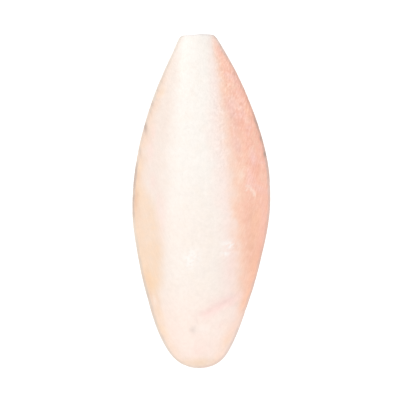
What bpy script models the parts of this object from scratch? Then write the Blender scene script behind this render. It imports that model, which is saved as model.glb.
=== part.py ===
"""A cuttlebone, the chalky inner shell of a cuttlefish, lying on its ventral side.

The hard dorsal side is up (+Z). The sawn-off spine end points along +Y, the rounded front end
along -Y. The origin is on the resting plane, below the middle of the bone.

The surface is laid out on growth lines. Each line is an earlier outline of the rounded front end,
so the ledges of the ventral side, the edges of the bone's thin chambers, follow the mesh.
"""
import math

import bmesh
import bpy
import numpy as np

MM = 0.001

# Overall size
LENGTH = 150 * MM
FRONT = -LENGTH / 2
WIDEST = 0.49
DEEPEST = 0.4

# Outline: half the width, at fractions of the length from the front end to the cut
HALF_WIDTHS = ((0.0, 0.0), (0.02, 9.35), (0.08, 15.9), (0.18, 21.55), (0.32, 27.2), (WIDEST, 30.9),
               (0.63, 29.2), (0.77, 23.55), (0.88, 16.95), (0.95, 11.7), (0.98, 9.4), (0.993, 8.3),
               (1.0, 7.4))
MIDLINE_DRIFT = ((0.0, -1.0), (0.1, -1.55), (0.25, -1.1), (0.4, -0.5), (0.6, 0.2), (0.8, -0.35), (0.9, -0.75),
                 (0.95, -1.1), (1.0, -1.7))

# Side view: the rim's height, the crown's rise above it and the belly's depth below it
RIM_HEIGHTS = ((0.0, 6.2), (0.12, 7.1), (0.3, 8.2), (0.5, 8.6), (0.75, 8.0), (0.9, 7.0), (1.0, 6.2))
CROWN_RISES = ((0.0, 0.0), (0.02, 1.7), (0.06, 3.3), (0.15, 5.4), (0.3, 7.4), (0.5, 8.4), (0.7, 8.1),
               (0.85, 6.6), (0.95, 4.8), (1.0, 3.6))
BELLY_DEPTHS = ((0.0, 0.0), (0.02, 1.9), (0.06, 3.7), (0.14, 6.3), (0.25, 8.6), (0.4, 9.8), (0.53, 9.6),
                (0.62, 8.6), (0.73, 6.2), (0.83, 3.4), (0.91, 1.0), (0.95, 0.0), (1.0, -1.0))
RIM_THICKNESS = 1.0 * MM

# Dorsal side: a broad middle rib between two shallow grooves
RIB_HALF_WIDTHS = ((0.0, 8.0), (0.12, 15.0), (0.25, 17.5), (0.4, 17.5), (0.55, 15.5), (0.75, 11.5),
                   (0.9, 7.0), (1.0, 4.0))
RIB_RISES = ((0.0, 0.0), (0.12, 0.1), (0.25, 0.35), (0.5, 0.6), (0.75, 0.6), (0.9, 0.45), (1.0, 0.2))
RIB_SHOULDER = 0.3
GROOVE_DEPTH = 0.35
GROOVE_PLACE = 1.38
GROOVE_SPREAD = 0.22
DOME_POWER = 0.95
RIM_FADE = 4

# Ventral side: a striped belly with a shallow middle groove, inside a hollow flange. A smooth lip
# runs down both sides of the belly and round its back end.
BELLY_HALF_SHARES = ((0.0, 0.97), (0.2, 0.94), (0.5, 0.87), (0.75, 0.77), (0.9, 0.66), (1.0, 0.5))
FLANGE_HOLLOWS = ((0.0, 0.0), (0.3, 0.15), (0.55, 0.6), (0.75, 1.5), (0.88, 2.0), (0.95, 1.7), (1.0, 0.4))
MIDDLE_GROOVE_DEPTHS = ((0.0, 0.0), (0.28, 0.2), (0.4, 1.1), (0.6, 1.2), (0.8, 0.7), (0.92, 0.2), (1.0, 0.0))
MIDDLE_GROOVE_HALF_WIDTH = 3.6 * MM
LIP_RISES = ((0.0, 0.0), (0.35, 0.1), (0.55, 0.35), (0.8, 0.7), (0.93, 0.9), (1.0, 0.3))
LIP_LEVEL = 0.05
LIP_SPREAD = 0.06
FLANGE_FADE = 8
WALL = 1.2 * MM

# Growth lines, as fractions of the growth from the cut to the front margin
STRIPED_FROM = 0.08
STRIPED_TO = 0.62
LEDGES = 16
LEDGE_HEIGHT = 0.4 * MM
LEDGE_TREAD = 0.85
TIP_LINES = (0.0, 0.012, 0.028, 0.05)
FRONT_LINES = 13
CREASE_LINES = (0.82, 0.84, 0.853, 0.875)
STEPS_ACROSS = 36
OUTLINE_SAMPLES = 400
LEDGE_FADE = 4
STRIPE_NOTCH = 1.6 * MM
STRIPE_NOTCH_WIDTH = 5.0 * MM

# The crease near the front end, through points in mm
CREASE = ((-1.9, -50.9), (3.4, -49.2), (8.2, -46.3), (11.2, -43.9), (16.5, -41.8))
CREASE_DEPTH = 0.4 * MM
CREASE_SPREAD = 1.6

# Material
BONE_COLOUR = (0.93, 0.80, 0.70)
BONE_ROUGHNESS = 0.62
SHARP_ANGLE = math.radians(22)


def remove_everything():
    for thing in list(bpy.data.objects):
        bpy.data.objects.remove(thing, do_unlink=True)


def smooth_curve(stations):
    """A smooth curve through (place, value) pairs, read at any place."""
    places, values = np.array(stations, dtype=float).T
    slopes = np.gradient(values, places)

    def read(place):
        cell = np.clip(np.searchsorted(places, place) - 1, 0, len(places) - 2)
        span = places[cell + 1] - places[cell]
        t = (place - places[cell]) / span
        start = values[cell] * (1 + 2 * t) * (1 - t) ** 2 + slopes[cell] * span * t * (1 - t) ** 2
        end = values[cell + 1] * t * t * (3 - 2 * t) + slopes[cell + 1] * span * t * t * (t - 1)
        return start + end

    return read


def rounded_at_the_front(stations):
    """A curve that leaves the front end squarely, as a circle does, in metres."""
    read = smooth_curve([(math.sqrt(place), value * MM) for place, value in stations])
    return lambda share: read(np.sqrt(share))


def plain(stations):
    """A curve along the length, in metres."""
    return smooth_curve([(place, value * MM) for place, value in stations])


half_width = rounded_at_the_front(HALF_WIDTHS)
midline = plain(MIDLINE_DRIFT)
rim_height = plain(RIM_HEIGHTS)
crown_rise = rounded_at_the_front(CROWN_RISES)
belly_depth = rounded_at_the_front(BELLY_DEPTHS)
rib_half_width = plain(RIB_HALF_WIDTHS)
rib_rise = plain(RIB_RISES)
belly_half_share = smooth_curve(BELLY_HALF_SHARES)
flange_hollow = plain(FLANGE_HOLLOWS)
middle_groove_depth = plain(MIDDLE_GROOVE_DEPTHS)
lip_rise = plain(LIP_RISES)


def bell(distance, spread):
    return np.exp(-(distance / spread) ** 2)


def growth_lines():
    """Growth lines as (place, rise) pairs. At each ledge a raised line meets a line at the lip."""
    pitch = (STRIPED_TO - STRIPED_FROM) / LEDGES
    ledges = []
    for k in range(LEDGES):
        start = STRIPED_FROM + k * pitch
        ledges += [(start, LEDGE_HEIGHT), (start + pitch * LEDGE_TREAD, 0.0)]
    front = STRIPED_TO + (1 - STRIPED_TO) * np.sin(np.linspace(0, math.pi / 2, FRONT_LINES))
    return sorted(ledges + [(place, 0.0) for place in (*TIP_LINES, *front, *CREASE_LINES)])


def front_outline(across):
    """How far forward the front outline lies, from 0 at the widest place to 1 at the front end."""
    share = np.linspace(0, 1, OUTLINE_SAMPLES) ** 2 * WIDEST
    widths = half_width(share) / half_width(WIDEST)
    return 1 - np.interp(np.abs(across), widths, share) / WIDEST


def line_points(growth):
    """Points across the bone on one growth line: the distance from the midline, and y."""
    across = np.sin(np.linspace(-math.pi / 2, math.pi / 2, STEPS_ACROSS + 1))
    side_share = 1 - growth * (1 - WIDEST)
    x = half_width(side_share) * across
    y = FRONT + LENGTH * (side_share - growth * WIDEST * front_outline(across))
    return x, y


def distance_to_crease(x, y):
    """The distance, in mm, from each point to the line through the crease's points."""
    nearest = np.full(np.shape(x), np.inf)
    for (x0, y0), (x1, y1) in zip(CREASE, CREASE[1:]):
        run = (x1 - x0, y1 - y0)
        along = ((x / MM - x0) * run[0] + (y / MM - y0) * run[1]) / (run[0] ** 2 + run[1] ** 2)
        along = np.clip(along, 0, 1)
        nearest = np.minimum(nearest, np.hypot(x / MM - x0 - along * run[0], y / MM - y0 - along * run[1]))
    return nearest


def place_on_the_bone(x, y):
    """Each point's share of the length from the front end, and of the half width there."""
    share = np.clip((y - FRONT) / LENGTH, 0, 1)
    across = np.abs(x) / np.maximum(half_width(share), MM / 10)
    return share, np.clip(across, 0, 1)


def dorsal_height(x, y):
    share, across = place_on_the_bone(x, y)
    dome = (1 - across ** 2) ** DOME_POWER
    rib_place = np.abs(x) / rib_half_width(share)
    rib = 0.5 - 0.5 * np.tanh((rib_place - 1) / RIB_SHOULDER)
    groove = bell(rib_place - GROOVE_PLACE, GROOVE_SPREAD) * GROOVE_DEPTH
    crease = CREASE_DEPTH * bell(distance_to_crease(x + midline(share), y), CREASE_SPREAD)
    height = rim_height(share) + RIM_THICKNESS / 2 + crown_rise(share) * dome
    return height + (rib_rise(share) * (rib - groove) - crease) * (1 - across ** RIM_FADE)


def ventral_height(x, y, ledge_rise):
    """The belly hangs inside the flange, is worn flat where it rests, and leaves a wall above it."""
    share, across = place_on_the_bone(x, y)
    edge = belly_half_share(share)
    depth = belly_depth(share)
    belly = depth - (across / edge) ** 2 * np.maximum(depth, MM)
    lip = lip_rise(share) * bell(belly / belly_depth(DEEPEST) - LIP_LEVEL, LIP_SPREAD)
    hollow = flange_hollow(share) * (1 - across ** FLANGE_FADE)
    middle_groove = middle_groove_depth(share) * bell(x, MIDDLE_GROOVE_HALF_WIDTH)
    ledge = ledge_rise * np.clip(LEDGE_FADE * (edge - across), 0, 1)
    height = rim_height(share) - RIM_THICKNESS / 2 + hollow + middle_groove + ledge
    height -= np.maximum(belly, 0) + lip
    wall = WALL + (RIM_THICKNESS - WALL) * across ** RIM_FADE
    return np.maximum(np.minimum(height, dorsal_height(x, y) - wall), 0)


def sheet(x, y, height):
    """One row of points, moved sideways with the bone's slightly bent midline."""
    return np.column_stack((x + midline((y - FRONT) / LENGTH), y, height))


def sheet_rows():
    """The dorsal and ventral points, one row for each growth line."""
    dorsal, ventral = [], []
    for growth, ledge_rise in growth_lines():
        x, y = line_points(growth)
        dorsal.append(sheet(x, y, dorsal_height(x, y)))
        notched_y = y + STRIPE_NOTCH * math.sin(math.pi * growth) * bell(x, STRIPE_NOTCH_WIDTH)
        ventral.append(sheet(x, notched_y, ventral_height(x, notched_y, ledge_rise)))
    return dorsal, ventral


def set_the_rim(dorsal, ventral):
    """The two sides end the rim's thickness apart, along the sides and round the front."""
    for upper, lower in zip(dorsal, ventral):
        for end in (0, -1):
            lower[end] = upper[end]
            lower[end, 2] = upper[end, 2] - RIM_THICKNESS
    ventral[-1][:] = dorsal[-1]
    ventral[-1][:, 2] -= RIM_THICKNESS


def join_rows(shape, row, next_row):
    for i in range(len(row) - 1):
        shape.faces.new((row[i], next_row[i], next_row[i + 1], row[i + 1]))


def bone_mesh():
    dorsal, ventral = sheet_rows()
    set_the_rim(dorsal, ventral)
    shape = bmesh.new()
    upper = [[shape.verts.new(point) for point in row] for row in dorsal]
    lower = [[shape.verts.new(point) for point in row] for row in ventral]
    for rows in (upper, lower):
        for row, next_row in zip(rows, rows[1:]):
            join_rows(shape, row, next_row)
    for end in (0, -1):
        join_rows(shape, [row[end] for row in upper], [row[end] for row in lower])
        join_rows(shape, upper[end], lower[end])
    bmesh.ops.recalc_face_normals(shape, faces=shape.faces)
    bmesh.ops.triangulate(shape, faces=shape.faces, quad_method="SHORT_EDGE")
    mesh = bpy.data.meshes.new("cuttlebone")
    shape.to_mesh(mesh)
    shape.free()
    return mesh


def bone_material():
    material = bpy.data.materials.new("bone")
    material.use_nodes = True
    shader = material.node_tree.nodes["Principled BSDF"]
    shader.inputs["Base Color"].default_value = (*BONE_COLOUR, 1)
    shader.inputs["Roughness"].default_value = BONE_ROUGHNESS
    shader.inputs["Metallic"].default_value = 0
    return material


def make_cuttlebone():
    mesh = bone_mesh()
    mesh.shade_smooth()
    mesh.set_sharp_from_angle(angle=SHARP_ANGLE)
    mesh.materials.append(bone_material())
    bone = bpy.data.objects.new("cuttlebone", mesh)
    bpy.context.scene.collection.objects.link(bone)


remove_everything()
make_cuttlebone()
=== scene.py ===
"""The finish of a cuttlebone that lies on its striped ventral side, hard dorsal side up.

The bone's surface is one fine mesh on the same growth lines as the solid: the dorsal shield with
its granules, crease and flaked spots, the thin horny rim, the chalky ventral side with its
striae, and the sawn end. Lengths are in millimetres until the mesh is made. Places on the bone
are (x, y), as seen from above with the sawn end up.
"""
import math

import bpy
import numpy as np
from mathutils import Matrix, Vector
from mathutils.kdtree import KDTree


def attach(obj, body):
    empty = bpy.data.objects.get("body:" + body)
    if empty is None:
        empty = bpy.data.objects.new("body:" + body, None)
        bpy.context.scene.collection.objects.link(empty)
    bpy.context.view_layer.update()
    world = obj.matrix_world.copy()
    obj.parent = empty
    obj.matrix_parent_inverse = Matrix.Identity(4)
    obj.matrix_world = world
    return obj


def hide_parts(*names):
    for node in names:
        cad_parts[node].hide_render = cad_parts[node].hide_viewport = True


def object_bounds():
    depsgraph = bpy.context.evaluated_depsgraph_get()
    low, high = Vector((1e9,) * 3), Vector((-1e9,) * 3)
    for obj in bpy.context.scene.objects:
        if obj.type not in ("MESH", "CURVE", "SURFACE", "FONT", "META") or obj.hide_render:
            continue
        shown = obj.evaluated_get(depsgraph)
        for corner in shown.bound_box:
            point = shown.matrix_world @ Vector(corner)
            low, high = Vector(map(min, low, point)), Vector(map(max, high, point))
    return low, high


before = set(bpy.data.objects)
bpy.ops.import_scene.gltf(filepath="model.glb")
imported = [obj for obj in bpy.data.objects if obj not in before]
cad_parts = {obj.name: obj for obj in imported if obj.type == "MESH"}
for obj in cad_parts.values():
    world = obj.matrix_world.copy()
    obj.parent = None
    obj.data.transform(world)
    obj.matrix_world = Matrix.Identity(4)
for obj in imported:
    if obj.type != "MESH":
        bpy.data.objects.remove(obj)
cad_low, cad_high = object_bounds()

MM = 0.001

# Overall size, from the frame
LENGTH = (cad_high.y - cad_low.y) / MM
FRONT = cad_low.y / MM
CUT = cad_high.y / MM
TOP = cad_high.z / MM
WIDEST = 0.49
DEEPEST = 0.4

# Outline: half the width, at fractions of the length from the front end to the cut
HALF_WIDTHS = ((0.0, 0.0), (0.02, 9.35), (0.08, 15.9), (0.18, 21.55), (0.32, 27.2), (WIDEST, 30.9),
               (0.63, 29.2), (0.77, 23.55), (0.88, 16.95), (0.95, 11.7), (0.98, 9.4), (0.993, 8.3),
               (1.0, 7.4))
MIDLINE_DRIFT = ((0.0, -1.0), (0.1, -1.55), (0.25, -1.1), (0.4, -0.5), (0.6, 0.2), (0.8, -0.35), (0.9, -0.75),
                 (0.95, -1.1), (1.0, -1.7))

# Side view: the rim's height, the crown's rise above it and the belly's depth below it
RIM_HEIGHTS = ((0.0, 6.2), (0.12, 7.1), (0.3, 8.2), (0.5, 8.6), (0.75, 8.0), (0.9, 7.0), (1.0, 6.2))
CROWN_RISES = ((0.0, 0.0), (0.02, 1.7), (0.06, 3.3), (0.15, 5.4), (0.3, 7.4), (0.5, 8.4), (0.7, 8.1),
               (0.85, 6.6), (0.95, 4.8), (1.0, 3.6))
BELLY_DEPTHS = ((0.0, 0.0), (0.02, 1.9), (0.06, 3.7), (0.14, 6.3), (0.25, 8.6), (0.4, 9.8), (0.53, 9.6),
                (0.62, 8.6), (0.73, 6.2), (0.83, 3.4), (0.91, 1.0), (0.95, 0.0), (1.0, -1.0))
RIM_THICKNESS = 1.0

# Dorsal side: a broad middle rib between two shallow grooves
RIB_HALF_WIDTHS = ((0.0, 8.0), (0.12, 15.0), (0.25, 17.5), (0.4, 17.5), (0.55, 15.5), (0.75, 11.5),
                   (0.9, 7.0), (1.0, 4.0))
RIB_RISES = ((0.0, 0.0), (0.12, 0.1), (0.25, 0.35), (0.5, 0.6), (0.75, 0.6), (0.9, 0.45), (1.0, 0.2))
RIB_SHOULDER = 0.3
GROOVE_DEPTH = 0.35
GROOVE_PLACE = 1.38
GROOVE_SPREAD = 0.22
DOME_POWER = 0.95
RIM_FADE = 4

# Ventral side: a striped belly with a shallow middle groove, inside a hollow flange, and a lip
BELLY_HALF_SHARES = ((0.0, 0.97), (0.2, 0.94), (0.5, 0.87), (0.75, 0.77), (0.9, 0.66), (1.0, 0.5))
FLANGE_HOLLOWS = ((0.0, 0.0), (0.3, 0.15), (0.55, 0.6), (0.75, 1.5), (0.88, 2.0), (0.95, 1.7), (1.0, 0.4))
MIDDLE_GROOVE_DEPTHS = ((0.0, 0.0), (0.28, 0.2), (0.4, 1.1), (0.6, 1.2), (0.8, 0.7), (0.92, 0.2), (1.0, 0.0))
MIDDLE_GROOVE_HALF_WIDTH = 3.6
LIP_RISES = ((0.0, 0.0), (0.35, 0.1), (0.55, 0.35), (0.8, 0.7), (0.93, 0.9), (1.0, 0.3))
LIP_LEVEL = 0.05
LIP_SPREAD = 0.06
FLANGE_FADE = 8
WALL = 1.2

# Growth lines, as fractions of the growth from the cut to the front margin
STRIPED_FROM = 0.08
STRIPED_TO = 0.62
LEDGES = 16
LEDGE_HEIGHT = 0.4
LEDGE_TREAD = 0.85
LEDGE_FADE = 4
STRIPE_NOTCH = 1.6
STRIPE_NOTCH_WIDTH = 5.0

# Fine striae on the ledges: each has three rows of points
STRIAE = 64
STRIA_PLACES = (0.0, 0.4, 0.85)
STRIA_RISES = (1.0, 0.45, 0.0)
STRIA_HEIGHT = 0.14

# Size of the mesh
TIP_ROWS = 14
TIP_CROWDING = 1.8
FRONT_ROWS = 110
COLUMNS = 153
CUT_STEPS = 12
EASE = 0.36

# Rim
RIM_ROUNDING = 0.6
NICK_REACH = 2.2
RELIEF_FADE = 1.6
LATTICE = 256

# Marks on the dorsal side
CREASE = ((-1.9, -50.9), (3.4, -49.2), (8.2, -46.3), (11.2, -43.9), (16.5, -41.8))
CREASE_CURL = ((14.5, -42.7), (17.2, -40.8), (18.2, -38.2))
CREASE_DEPTH = 0.4
CREASE_SPREAD = 1.6
PIT = (-3.5, -57.1)
LIGHT_SPOT = (0.9, -56.2)

# Flaked spots: x, y, half length, half width, turn in degrees
FLAKED_AREAS = ((-4.4, -25.0, 4.2, 3.2, 60), (-5.0, -28.2, 2.2, 1.4, 20), (12.2, -19.3, 3.6, 2.0, -8),
                (10.6, -22.8, 1.8, 1.2, 0))
SCRATCHES = ((20.8, 6.8, 1.5, 0.7, -8), (22.3, 5.2, 1.5, 0.8, -35), (23.3, 3.6, 0.9, 1.2, 10),
             (20.0, 5.0, 0.8, 0.4, 25))
FLAKE_DEPTH = 0.18
FLECK_LENGTH = 1.5
FLECK_WIDTH = 0.65
FLECK_SLANT = 35

# Fine slanting wrinkles on the rib's right shoulder, near the back
WRINKLED_AREA = (8.4, 40.8, 2.4, 5.2, 12)
WRINKLE_HEIGHT = 0.12
WRINKLE_LENGTH = 2.6
WRINKLE_WIDTH = 0.7
WRINKLE_SLANT = 48


def smooth_curve(stations):
    """A smooth curve through (place, value) pairs, read at any place."""
    places, values = np.array(stations, dtype=float).T
    slopes = np.gradient(values, places)

    def read(place):
        cell = np.clip(np.searchsorted(places, place) - 1, 0, len(places) - 2)
        span = places[cell + 1] - places[cell]
        t = (place - places[cell]) / span
        start = values[cell] * (1 + 2 * t) * (1 - t) ** 2 + slopes[cell] * span * t * (1 - t) ** 2
        end = values[cell + 1] * t * t * (3 - 2 * t) + slopes[cell + 1] * span * t * t * (t - 1)
        return start + end

    return read


def rounded_at_the_front(stations):
    """A curve that leaves the front end squarely, as a circle does."""
    read = smooth_curve([(math.sqrt(place), value) for place, value in stations])
    return lambda share: read(np.sqrt(share))


half_width = rounded_at_the_front(HALF_WIDTHS)
midline = smooth_curve(MIDLINE_DRIFT)
rim_height = smooth_curve(RIM_HEIGHTS)
crown_rise = rounded_at_the_front(CROWN_RISES)
belly_depth = rounded_at_the_front(BELLY_DEPTHS)
rib_half_width = smooth_curve(RIB_HALF_WIDTHS)
rib_rise = smooth_curve(RIB_RISES)
belly_half_share = smooth_curve(BELLY_HALF_SHARES)
flange_hollow = smooth_curve(FLANGE_HOLLOWS)
middle_groove_depth = smooth_curve(MIDDLE_GROOVE_DEPTHS)
lip_rise = smooth_curve(LIP_RISES)


def bell(distance, spread):
    return np.exp(-(distance / spread) ** 2)


def step(value, low, high):
    """0 below low, 1 above high, and a smooth rise between."""
    t = np.clip((value - low) / (high - low), 0, 1)
    return t * t * (3 - 2 * t)


def streaks(u, v, seed):
    """Smooth noise from -1 to 1 on a square lattice, one unit apart."""
    lattice = np.random.default_rng(seed).uniform(-1, 1, (LATTICE, LATTICE))
    u, v = np.broadcast_arrays(u, v)
    column = np.floor(u).astype(int)
    row = np.floor(v).astype(int)
    s = step(u - column, 0, 1)
    t = step(v - row, 0, 1)

    def corner(i, j):
        return lattice[(column + i) % LATTICE, (row + j) % LATTICE]

    near = corner(0, 0) * (1 - s) + corner(1, 0) * s
    far = corner(0, 1) * (1 - s) + corner(1, 1) * s
    return near * (1 - t) + far * t


def lumps(x, y, size, seed):
    """Smooth noise from -1 to 1, in lumps of about the given size, on a turned lattice."""
    turn = seed * 1.7 + 0.4
    u = (x * math.cos(turn) + y * math.sin(turn)) / size
    v = (y * math.cos(turn) - x * math.sin(turn)) / size
    return streaks(u + seed * 7.3, v + seed * 3.1, seed)


def oval(x, y, place):
    """Distance from the middle of an oval, 1 on its border. place is x, y, two half sizes and a turn."""
    middle_x, middle_y, long, wide, degrees = place
    turn = math.radians(degrees)
    u = (x - middle_x) * math.cos(turn) + (y - middle_y) * math.sin(turn)
    v = (y - middle_y) * math.cos(turn) - (x - middle_x) * math.sin(turn)
    return np.hypot(u / long, v / wide)


def near_line(x, y, line):
    """Distance to a line through points, the share of it passed there, and the side, +1 on its left."""
    nearest = np.full(np.shape(x), np.inf)
    share = np.zeros(np.shape(x))
    side = np.zeros(np.shape(x))
    for k, ((x0, y0), (x1, y1)) in enumerate(zip(line, line[1:])):
        run_x, run_y = x1 - x0, y1 - y0
        along = np.clip(((x - x0) * run_x + (y - y0) * run_y) / (run_x ** 2 + run_y ** 2), 0, 1)
        off_x, off_y = x - x0 - along * run_x, y - y0 - along * run_y
        distance = np.hypot(off_x, off_y)
        closer = distance < nearest
        nearest = np.where(closer, distance, nearest)
        share = np.where(closer, (k + along) / (len(line) - 1), share)
        side = np.where(closer, np.sign(run_x * off_y - run_y * off_x), side)
    return nearest, share, side


# The bone's form, as in the solid

def place_on_the_bone(x, y):
    """Each point's share of the length from the front end, and of the half width there."""
    share = np.clip((y - FRONT) / LENGTH, 0, 1)
    across = np.abs(x) / np.maximum(half_width(share), 0.1)
    return share, np.clip(across, 0, 1)


def dorsal_height(x, y):
    share, across = place_on_the_bone(x, y)
    dome = (1 - across ** 2) ** DOME_POWER
    rib_place = np.abs(x) / rib_half_width(share)
    rib = 0.5 - 0.5 * np.tanh((rib_place - 1) / RIB_SHOULDER)
    groove = bell(rib_place - GROOVE_PLACE, GROOVE_SPREAD) * GROOVE_DEPTH
    crease = CREASE_DEPTH * bell(near_line(x + midline(share), y, CREASE)[0], CREASE_SPREAD)
    height = rim_height(share) + RIM_THICKNESS / 2 + crown_rise(share) * dome
    return height + (rib_rise(share) * (rib - groove) - crease) * (1 - across ** RIM_FADE)


def ventral_height(x, y, ledge_rise):
    share, across = place_on_the_bone(x, y)
    edge = belly_half_share(share)
    depth = belly_depth(share)
    belly = depth - (across / edge) ** 2 * np.maximum(depth, 1)
    lip = lip_rise(share) * bell(belly / belly_depth(DEEPEST) - LIP_LEVEL, LIP_SPREAD)
    hollow = flange_hollow(share) * (1 - across ** FLANGE_FADE)
    middle_groove = middle_groove_depth(share) * bell(x, MIDDLE_GROOVE_HALF_WIDTH)
    ledge = ledge_rise * np.clip(LEDGE_FADE * (edge - across), 0, 1)
    height = rim_height(share) - RIM_THICKNESS / 2 + hollow + middle_groove + ledge
    height = height - np.maximum(belly, 0) - lip
    wall = WALL + (RIM_THICKNESS - WALL) * across ** RIM_FADE
    return np.maximum(np.minimum(height, dorsal_height(x, y) - wall), 0)


def front_outline(across):
    """How far forward the front outline lies, from 0 at the widest place to 1 at the front end."""
    share = np.linspace(0, 1, 400) ** 2 * WIDEST
    widths = half_width(share) / half_width(WIDEST)
    return 1 - np.interp(np.abs(across), widths, share) / WIDEST


def line_points(growth, across):
    """Points on growth lines: the distance from the midline, and y."""
    side_share = 1 - growth * (1 - WIDEST)
    x = half_width(side_share) * across
    y = FRONT + LENGTH * (side_share - growth * WIDEST * front_outline(across))
    return x, y


def eased(t):
    """Even steps, made closer in the middle and wider at both ends."""
    return t - EASE * np.sin(math.pi * t) / math.pi


def growth_of_rows():
    """The growth lines that the mesh follows, and the rise of the fine striae on each."""
    tip = STRIPED_FROM * np.linspace(0, 1, TIP_ROWS, endpoint=False) ** TIP_CROWDING
    pitch = (STRIPED_TO - STRIPED_FROM) / STRIAE
    starts = STRIPED_FROM + pitch * np.arange(STRIAE)
    striped = (starts[:, None] + pitch * np.array(STRIA_PLACES)).ravel()
    front = STRIPED_TO + (1 - STRIPED_TO) * np.sin(math.pi / 2 * eased(np.linspace(0, 1, FRONT_ROWS)))
    strength = np.random.default_rng(5).uniform(0.45, 1.0, STRIAE)
    rises = STRIA_HEIGHT * (strength[:, None] * np.array(STRIA_RISES)).ravel()
    growth = np.concatenate((tip, striped, front))
    return growth, np.concatenate((np.zeros(TIP_ROWS), rises, np.zeros(FRONT_ROWS)))


def ledge_rise(growth):
    """How far the broad ledges lift the belly on each growth line."""
    pitch = (STRIPED_TO - STRIPED_FROM) / LEDGES
    starts = STRIPED_FROM + pitch * np.arange(LEDGES)
    places = np.column_stack((starts, starts + pitch * LEDGE_TREAD)).ravel()
    return np.interp(growth, places, np.tile((LEDGE_HEIGHT, 0.0), LEDGES), left=0)


# The outline and the rim

def outline():
    """The outline's points from the cut down the left side, round the front and up the right side,
    with the direction into the bone and the way gone at each."""
    down = np.linspace(0, 1, 900)
    left = np.column_stack(line_points(down, -np.ones_like(down)))
    right = np.column_stack(line_points(down[::-1], np.ones_like(down)))
    round_front = np.sin(np.linspace(-math.pi / 2, math.pi / 2, 1400))[1:-1]
    front = np.column_stack(line_points(np.ones_like(round_front), round_front))
    points = np.vstack((left, front, right))
    tangent = np.gradient(points, axis=0)
    tangent /= np.linalg.norm(tangent, axis=1, keepdims=True)
    inward = np.column_stack((-tangent[:, 1], tangent[:, 0]))
    way = np.concatenate(([0], np.cumsum(np.linalg.norm(np.diff(points, axis=0), axis=1))))
    return points, inward, way


OUTLINE, INWARD, WAY = outline()
OUTLINE_TREE = KDTree(len(OUTLINE))
for number, (outline_x, outline_y) in enumerate(OUTLINE):
    OUTLINE_TREE.insert((outline_x, outline_y, 0), number)
OUTLINE_TREE.balance()


def edge_of(x, y):
    """Each point's distance from the outline, and the number of the outline's nearest point."""
    nearest = [OUTLINE_TREE.find((px, py, 0))[1] for px, py in zip(x.ravel(), y.ravel())]
    nearest = np.array(nearest).reshape(x.shape)
    inward = INWARD[nearest]
    distance = (x - OUTLINE[nearest, 0]) * inward[..., 0] + (y - OUTLINE[nearest, 1]) * inward[..., 1]
    return np.maximum(distance, 0), nearest


def nicks(way):
    """How far the worn rim lies inside the outline: long shallow waves and small breaks."""
    waves = 0.05 + 0.05 * streaks(way / 6.5, 0.5, 31)
    breaks = np.maximum(streaks(way / 1.7, 0.5, 32) - 0.3, 0) * 0.2
    return waves + breaks


def worn_edge(x, y, distance, nearest):
    """Moves the points near the outline inward, to the worn rim."""
    depth = nicks(WAY[nearest]) * np.clip(1 - distance / NICK_REACH, 0, 1) ** 2
    return x + INWARD[nearest, 0] * depth, y + INWARD[nearest, 1] * depth


def rim_round(distance):
    """Share of the half thickness that is left towards the outline, as on a quarter ellipse."""
    return np.sqrt(1 - (1 - np.clip(distance / RIM_ROUNDING, 0, 1)) ** 2)


def sawn(x, y):
    """Moves the points at the cut inward: the left half was sawn a little shorter."""
    recess = 0.08 + 0.36 * step(-x, -1.5, 1.5) + 0.07 * streaks(x / 1.1, 0.5, 41)
    return y - recess * np.exp(-(CUT - y) / 0.9)


# Fine relief

def grain_strength(x, y):
    """Where the dorsal granules stand out: the back half, most on the rib's right shoulder and flank."""
    share, _ = place_on_the_bone(x, y)
    rib_place = x / rib_half_width(share)
    shoulder = bell(rib_place - 0.65, 0.35) * step(share, 0.4, 0.6)
    flank = step(rib_place, 0.9, 1.4) * step(share, 0.3, 0.65)
    worn_back = step(share, 0.95, 0.82)
    return 0.3 + 0.1 * step(share, 0.3, 0.8) + worn_back * np.maximum(0.35 * shoulder, 0.5 * flank)


def speckle_and_grain_shade_strength(x, y):
    """Where the granules show as fine light and dark specks, partly their own tone and partly painted shade and
    highlight of their relief: on the right flank, most at the back.
    """
    share, _ = place_on_the_bone(x, y)
    rib_place = x / rib_half_width(share)
    shoulder = 0.6 * bell(rib_place - 0.65, 0.3) * step(share, 0.55, 0.66) * step(share, 0.88, 0.78)
    back = step(share, 0.68, 0.8) * step(share, 1.0, 0.85)
    flank = step(rib_place, 0.85, 1.2) * (0.3 + 0.15 * step(share, 0.48, 0.56) + 0.35 * back)
    base = 0.18 + 0.08 * step(share, 0.76, 0.84)
    return base + (1 - base) * np.maximum(shoulder, flank * step(share, 0.15, 0.35))


def flake_mask(x, y):
    """How far the surface has flaked off, in slanting flecks."""
    ragged_x = x + 0.35 * lumps(x, y, 0.9, 51)
    ragged_y = y + 0.3 * lumps(x, y, 0.9, 52)
    slant = math.radians(FLECK_SLANT)
    fleck_along = (ragged_x * math.cos(slant) + ragged_y * math.sin(slant)) / FLECK_LENGTH
    fleck_aside = (ragged_y * math.cos(slant) - ragged_x * math.sin(slant)) / FLECK_WIDTH
    areas = [np.exp(-oval(x, y, area) ** 2) for area in FLAKED_AREAS]
    return step(streaks(fleck_along, fleck_aside, 53), -0.2, 0.2) * np.max(areas, axis=0)


def wrinkle_mask(x, y):
    return np.exp(-oval(x, y, WRINKLED_AREA) ** 2)


def wrinkles(x, y):
    """Short slanting wrinkles, from -1 to 1."""
    slant = math.radians(WRINKLE_SLANT)
    wrinkle_along = (x * math.cos(slant) + y * math.sin(slant)) / WRINKLE_LENGTH
    wrinkle_aside = (y * math.cos(slant) - x * math.sin(slant)) / WRINKLE_WIDTH
    return streaks(wrinkle_along + 0.4 * lumps(x, y, 3, 57), wrinkle_aside, 56) * wrinkle_mask(x, y)


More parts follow.
